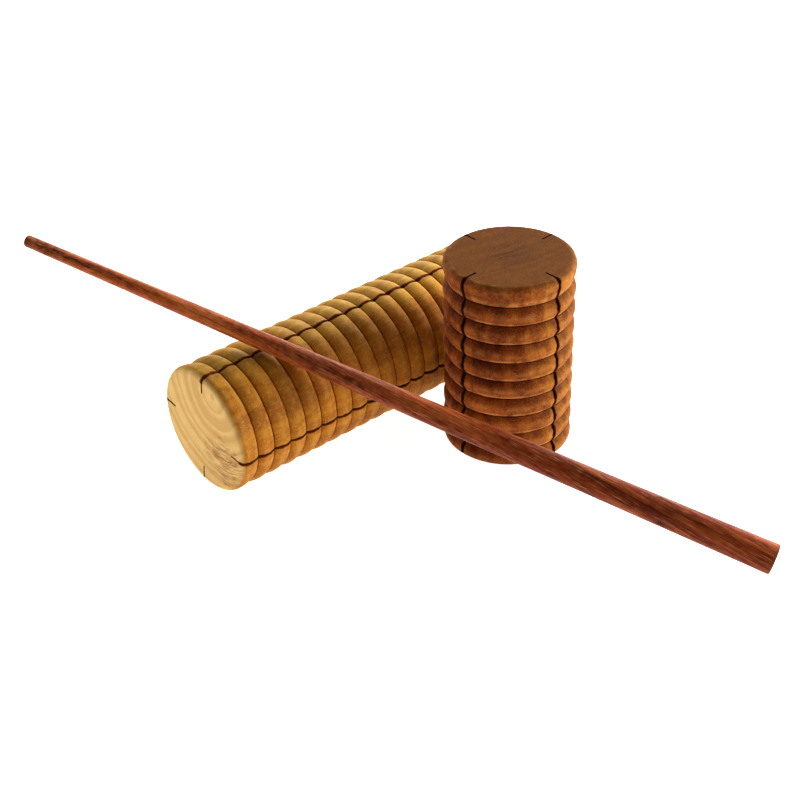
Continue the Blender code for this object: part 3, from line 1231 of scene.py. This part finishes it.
@dataclass
class TaperedStick:
    """A solid round stick, thick at one end, rubbed smooth by hand, with one small knot."""

    node: str
    wood: Wood
    slot: str
    length: float
    thick_radius: float
    thin_radius: float
    place: Matrix
    seed: float = 31.0
    unevenness: float = 0.09 * MM
    thick_rounding: float = 0.35 * MM
    thin_rounding: float = 0.9 * MM
    knot_height: float = 41.0 * MM
    knot_angle: float = math.radians(-11.0)
    knot_length: float = 3.2 * MM
    knot_width: float = 1.7 * MM
    rings: int = 260
    sides: int = 56
    rounding_steps: int = 5
    face_rings: tuple[float, ...] = (0.8, 0.5, 0.25)

    def knot(self, angle: float, height: float) -> tuple[float, float]:
        """The small knot's relief and darkness at a place on the side.

        Args:
            angle: Round the axis.
            height: Along the axis.

        Returns:
            How far the surface is raised there, and how dark it is.
        """
        turn = (angle - self.knot_angle + math.pi) % math.tau - math.pi
        across = turn * self.thick_radius / self.knot_width
        along = (height - self.knot_height) / self.knot_length
        away = math.hypot(across, along)
        swell = KNOT_SWELL * math.exp(-((away - KNOT_SWELL_AWAY) ** 2) * KNOT_SWELL_NARROWNESS)
        pit = KNOT_PIT * math.exp(-(away**2) * KNOT_PIT_NARROWNESS)
        return swell - pit, KNOT_DARKNESS * math.exp(-(away**2) * KNOT_DARK_NARROWNESS)

    def heights(self) -> list[tuple[float, float]]:
        """Each ring's height and how far it is rounded in, from the thick end to the thin one."""
        found = []
        for i in range(self.rounding_steps):
            angle = 0.5 * math.pi * i / self.rounding_steps
            height = self.thick_rounding * (1.0 - math.cos(angle))
            found.append((height, self.thick_rounding * (1.0 - math.sin(angle))))
        low, high = self.thick_rounding, self.length - self.thin_rounding
        found += [(low + (high - low) * i / self.rings, 0.0) for i in range(self.rings + 1)]
        for i in reversed(range(self.rounding_steps)):
            angle = 0.5 * math.pi * i / self.rounding_steps
            height = self.length - self.thin_rounding * (1.0 - math.cos(angle))
            found.append((height, self.thin_rounding * (1.0 - math.sin(angle))))
        return found

    def ring(self, skin: Skin, height: float, inset: float) -> list[int]:
        """Adds one ring of the side.

        Args:
            skin: The mesh in the making.
            height: Along the axis.
            inset: How far the rounded end brings the ring in.

        Returns:
            The ring's points.
        """
        taper = self.thick_radius + (self.thin_radius - self.thick_radius) * height / self.length
        end = 1.0 - ease(min(height, self.length - height) / (2.0 * self.thick_rounding))
        numbers = []
        for i in range(self.sides):
            angle = math.tau * i / self.sides
            around = Vector((math.cos(angle), math.sin(angle), 0.0))
            turn, run = STICK_BROAD_SWELL
            rough = noise.noise(around * turn + Vector((self.seed, 0.0, height * run)))
            turn, run = STICK_FINE_SWELL
            rough += STICK_FINE_SHARE * noise.noise(around * turn + Vector((0.0, self.seed, height * run)))
            rough = min(max(rough, -STICK_MOST_SWELL), STICK_MOST_SWELL)
            raised, dark = self.knot(angle, height)
            radius = taper - inset - self.unevenness * (STICK_MOST_SWELL + rough)
            radius += min(raised, KNOT_MOST_RAISED)
            place = around * radius + Vector((0.0, 0.0, height))
            wear = (1.0 - STICK_LEAST_WEAR) * ease(height / self.length - STICK_WEAR_START)
            edge = STICK_LEAST_WEAR + wear
            tan = 1.0 - ease(height / self.length * STICK_TAN_FADE - STICK_TAN_START)
            numbers.append(skin.point(place, end=end, knot=dark, edge=edge, tan=tan))
        return numbers

    def build(self) -> Skin:
        """Builds the stick's mesh in its own frame, with the thick end at Z 0."""
        skin = Skin()
        rings = [self.ring(skin, height, inset) for height, inset in self.heights()]
        for lower, upper in zip(rings, rings[1:]):
            skin.bridge(lower, upper, closed=True)
        for ring, height, top in ((rings[0], 0.0, False), (rings[-1], self.length, True)):
            outer = ring
            for scale in self.face_rings:
                places = [Vector((skin.points[n].x * scale, skin.points[n].y * scale, height)) for n in ring]
                inner = [skin.point(place, end=1.0) for place in places]
                skin.bridge(outer, inner, closed=True, flip=not top, end=True)
                outer = inner
            skin.fan(outer, skin.point(Vector((0.0, 0.0, height)), end=1.0), flip=not top)
        return skin

    def dress(self, effects: WoodEffects) -> bpy.types.Object:
        """Builds the stick, gives it its wood, and puts it in the CAD node's place.

        Args:
            effects: The shared node groups.

        Returns:
            The finished piece.
        """
        material = wood_material(self.slot, self.wood.value, effects, self.place.inverted())
        piece = self.build().to_object(self.node + "_wood", material, STICK_SHARP_ANGLE)
        piece.data.transform(self.place)
        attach(piece, self.node)
        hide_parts(self.node)
        return piece


# Places taken from the frame


def standing_cylinder(node: str) -> tuple[float, float, Matrix]:
    """Length, radius and place of a cylinder that stands on its foot."""
    low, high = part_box(node)
    centre = 0.5 * (low + high)
    place = Matrix.Translation((centre.x, centre.y, low.z))
    return high.z - low.z, 0.5 * (high.x - low.x), place


def lying_cylinder(node: str) -> tuple[float, float, Matrix]:
    """Length, radius and place of a cylinder that lies along +X, its own X along +Y and its Y up."""
    low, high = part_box(node)
    centre = 0.5 * (low + high)
    turn = Matrix(((0.0, 0.0, 1.0), (1.0, 0.0, 0.0), (0.0, 1.0, 0.0))).to_4x4()
    place = Matrix.Translation((low.x, centre.y, centre.z)) @ turn
    return high.x - low.x, 0.5 * (high.z - low.z), place


# A rod's end is what lies this near to its furthest point along it, and its rim what lies within this
# share of its length from the end's middle. The axis is found again from the ends this many times.
ROD_END_REACH = 2.0 * MM
ROD_RIM_SHARE = 0.05
ROD_AXIS_ROUNDS = 4


def tapered_rod(node: str) -> tuple[float, float, float, Matrix]:
    """Length, the two radii and the place of a rod, from its thick end, its own Y upwards."""
    points = [vertex.co.copy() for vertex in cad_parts[node].data.vertices]
    middle = sum(points, Vector()) / len(points)
    far = max(points, key=lambda p: (p - middle).length)
    axis = (far - middle).normalized()
    for _ in range(ROD_AXIS_ROUNDS):
        reach = [(p - middle).dot(axis) for p in points]
        ends = []
        for limit in (min(reach), max(reach)):
            near = [p for p, r in zip(points, reach) if abs(r - limit) < ROD_END_REACH]
            ends.append(sum(near, Vector()) / len(near))
        axis = (ends[1] - ends[0]).normalized()
    radii = []
    for end in ends:
        rim = ROD_RIM_SHARE * (ends[1] - ends[0]).length
        near = [p - end for p in points if (p - end).length < rim]
        radii.append(max((p - p.dot(axis) * axis).length for p in near))
    if radii[0] < radii[1]:
        ends, radii, axis = ends[::-1], radii[::-1], -axis
    reach = [(p - ends[0]).dot(axis) for p in points]
    start = ends[0] + axis * min(reach)
    place = Matrix.Translation(start) @ axis.to_track_quat("Z", "Y").to_matrix().to_4x4()
    return max(reach) - min(reach), radii[0], radii[1], place


# Studio


@dataclass
class Softbox:
    """A rectangular soft light that looks at the object's middle.

    The power is what one square metre of it gives.
    """

    name: str
    azimuth: float
    elevation: float
    distance: float
    width: float
    height: float
    power: float

    def hang(self, target: Vector) -> None:
        """Puts the light up, azimuth degrees round from +X and elevation degrees up."""
        light = bpy.data.lights.new(self.name, "AREA")
        light.shape = "RECTANGLE"
        light.size = self.width
        light.size_y = self.height
        light.energy = self.power * self.width * self.height
        around, rise = math.radians(self.azimuth), math.radians(self.elevation)
        level = math.cos(rise)
        away = Vector((math.cos(around) * level, math.sin(around) * level, math.sin(rise)))
        lamp = bpy.data.objects.new(self.name, light)
        lamp.location = target + away * self.distance
        lamp.rotation_mode = "QUATERNION"
        lamp.rotation_quaternion = away.to_track_quat("Z", "Y")
        bpy.context.scene.collection.objects.link(lamp)


@dataclass
class Studio:
    """A white table in a light tent, the soft lights, and the camera."""

    camera_place: tuple[float, float, float] = (-0.35176, -0.35155, 0.35172)
    camera_heading: float = math.radians(-40.16)
    camera_dip: float = math.radians(34.15)
    camera_roll: float = math.radians(-1.733)
    lens: float = 68.78
    sensor: float = 36.0
    nearest: float = 0.01
    furthest: float = 20.0
    floor_size: float = 6.0
    floor_drop: float = 0.02 * MM
    table_grey: float = 0.84
    table_roughness: float = 0.35
    table_gloss: float = 1.0
    table_glow: float = 0.98
    tent_strength: float = 0.02
    softboxes: tuple[Softbox, ...] = (
        Softbox("back_softbox", 30.0, 16.0, 1.3, 1.08, 0.72, 25.4),
        Softbox("high_back_softbox", 60.0, 40.0, 1.3, 1.08, 1.08, 12.9),
        Softbox("right_softbox", 331.0, 14.0, 1.3, 0.74, 0.62, 45.0),
        Softbox("front_softbox", 306.0, 12.0, 1.3, 0.50, 0.52, 30.0),
        Softbox("left_softbox", 120.0, 20.0, 1.3, 1.08, 0.88, 6.5),
    )

    def lay_floor(self) -> None:
        """Lays the pale floor, a hair under the pieces."""
        half = 0.5 * self.floor_size
        mesh = bpy.data.meshes.new("table")
        corners = [(-half, -half, 0.0), (half, -half, 0.0), (half, half, 0.0), (-half, half, 0.0)]
        mesh.from_pydata(corners, [], [(0, 1, 2, 3)])
        floor = bpy.data.objects.new("table", mesh)
        floor.location = (0.0, 0.0, -self.floor_drop)
        bpy.context.scene.collection.objects.link(floor)
        paint = bpy.data.materials.new("white_table")
        paint.use_nodes = True
        shader = paint.node_tree.nodes["Principled BSDF"]
        grey = self.table_grey
        shader.inputs["Base Color"].default_value = (grey, grey, grey, 1.0)
        shader.inputs["Roughness"].default_value = self.table_roughness
        shader.inputs["Specular IOR Level"].default_value = self.table_gloss
        shader.inputs["Emission Color"].default_value = (1.0, 1.0, 1.0, 1.0)
        shader.inputs["Emission Strength"].default_value = self.table_glow
        mesh.materials.append(paint)

    def light(self, target: Vector) -> None:
        """Lights the tent evenly and hangs the softboxes."""
        world = bpy.data.worlds.new("light_tent")
        bpy.context.scene.world = world
        world.use_nodes = True
        net = Net(world.node_tree)
        seen = net.add("ShaderNodeLightPath", {}).outputs["Is Camera Ray"]
        choice = {"Factor": seen, 2: self.tent_strength, 3: 1.0}
        strength = net.add("ShaderNodeMix", choice, data_type="FLOAT").outputs[0]
        glow = world.node_tree.nodes["Background"]
        glow.inputs["Color"].default_value = (1.0, 1.0, 1.0, 1.0)
        net.tree.links.new(strength, glow.inputs["Strength"])
        for softbox in self.softboxes:
            softbox.hang(target)

    def place_camera(self) -> None:
        """Puts the camera up and makes it the scene's."""
        lens = bpy.data.cameras.new("camera")
        lens.lens = self.lens
        lens.sensor_width = self.sensor
        lens.clip_start = self.nearest
        lens.clip_end = self.furthest
        camera = bpy.data.objects.new("camera", lens)
        heading = Matrix.Rotation(self.camera_heading, 4, "Z")
        dip = Matrix.Rotation(0.5 * math.pi - self.camera_dip, 4, "X")
        roll = Matrix.Rotation(self.camera_roll, 4, "Z")
        camera.matrix_world = Matrix.Translation(self.camera_place) @ heading @ dip @ roll
        bpy.context.scene.collection.objects.link(camera)
        bpy.context.scene.camera = camera

    def set_up(self) -> None:
        """Lays the floor, lights the scene and places the camera."""
        low, high = (Vector(corner) for corner in CAD_BOX)
        self.lay_floor()
        self.light(0.5 * (low + high))
        self.place_camera()
        bpy.context.scene.view_settings.view_transform = "Standard"


def main() -> None:
    """Builds the three pieces and the studio."""
    logging.basicConfig(level=logging.INFO, format="%(message)s")
    effects = WoodEffects.build()
    length, radius, place = lying_cylinder("long_cylinder")
    long_cylinder = RibbedCylinder(
        node="long_cylinder",
        wood=Wood.GOLDEN,
        slot="golden_wood",
        length=length,
        radius=radius,
        place=place,
        foot_rib=7.7 * MM,
        top_rib=7.7 * MM,
        rib_count=20,
        crown=1.05 * MM,
        rounding=2.6 * MM,
        kerf_depth=7.6 * MM,
        kerf_turn=math.radians(97.3),
        shade_side=math.radians(170),
        shade_below=True,
        seed=2.0,
    )
    length, radius, place = standing_cylinder("short_cylinder")
    short_cylinder = RibbedCylinder(
        node="short_cylinder",
        wood=Wood.RED_BROWN,
        slot="red_brown_wood",
        length=length,
        radius=radius,
        place=place,
        foot_rib=6.4 * MM,
        top_rib=8.6 * MM,
        rib_count=10,
        crown=1.55 * MM,
        rounding=2.1 * MM,
        kerf_depth=7.1 * MM,
        kerf_turn=math.radians(1.9),
        shade_side=math.radians(195),
        shade_below=False,
        seed=8.0,
        rib_steps=16,
    )
    length, thick, thin, place = tapered_rod("stick")
    stick = TaperedStick(
        node="stick",
        wood=Wood.DARK_RED,
        slot="dark_red_wood",
        length=length,
        thick_radius=thick,
        thin_radius=thin,
        place=place,
    )
    for part in (long_cylinder, short_cylinder, stick):
        piece = part.dress(effects)
        LOG.info("%s: %d faces, rides on %s", piece.name, len(piece.data.polygons), part.node)
    Studio().set_up()


if __name__ == "__main__":
    main()
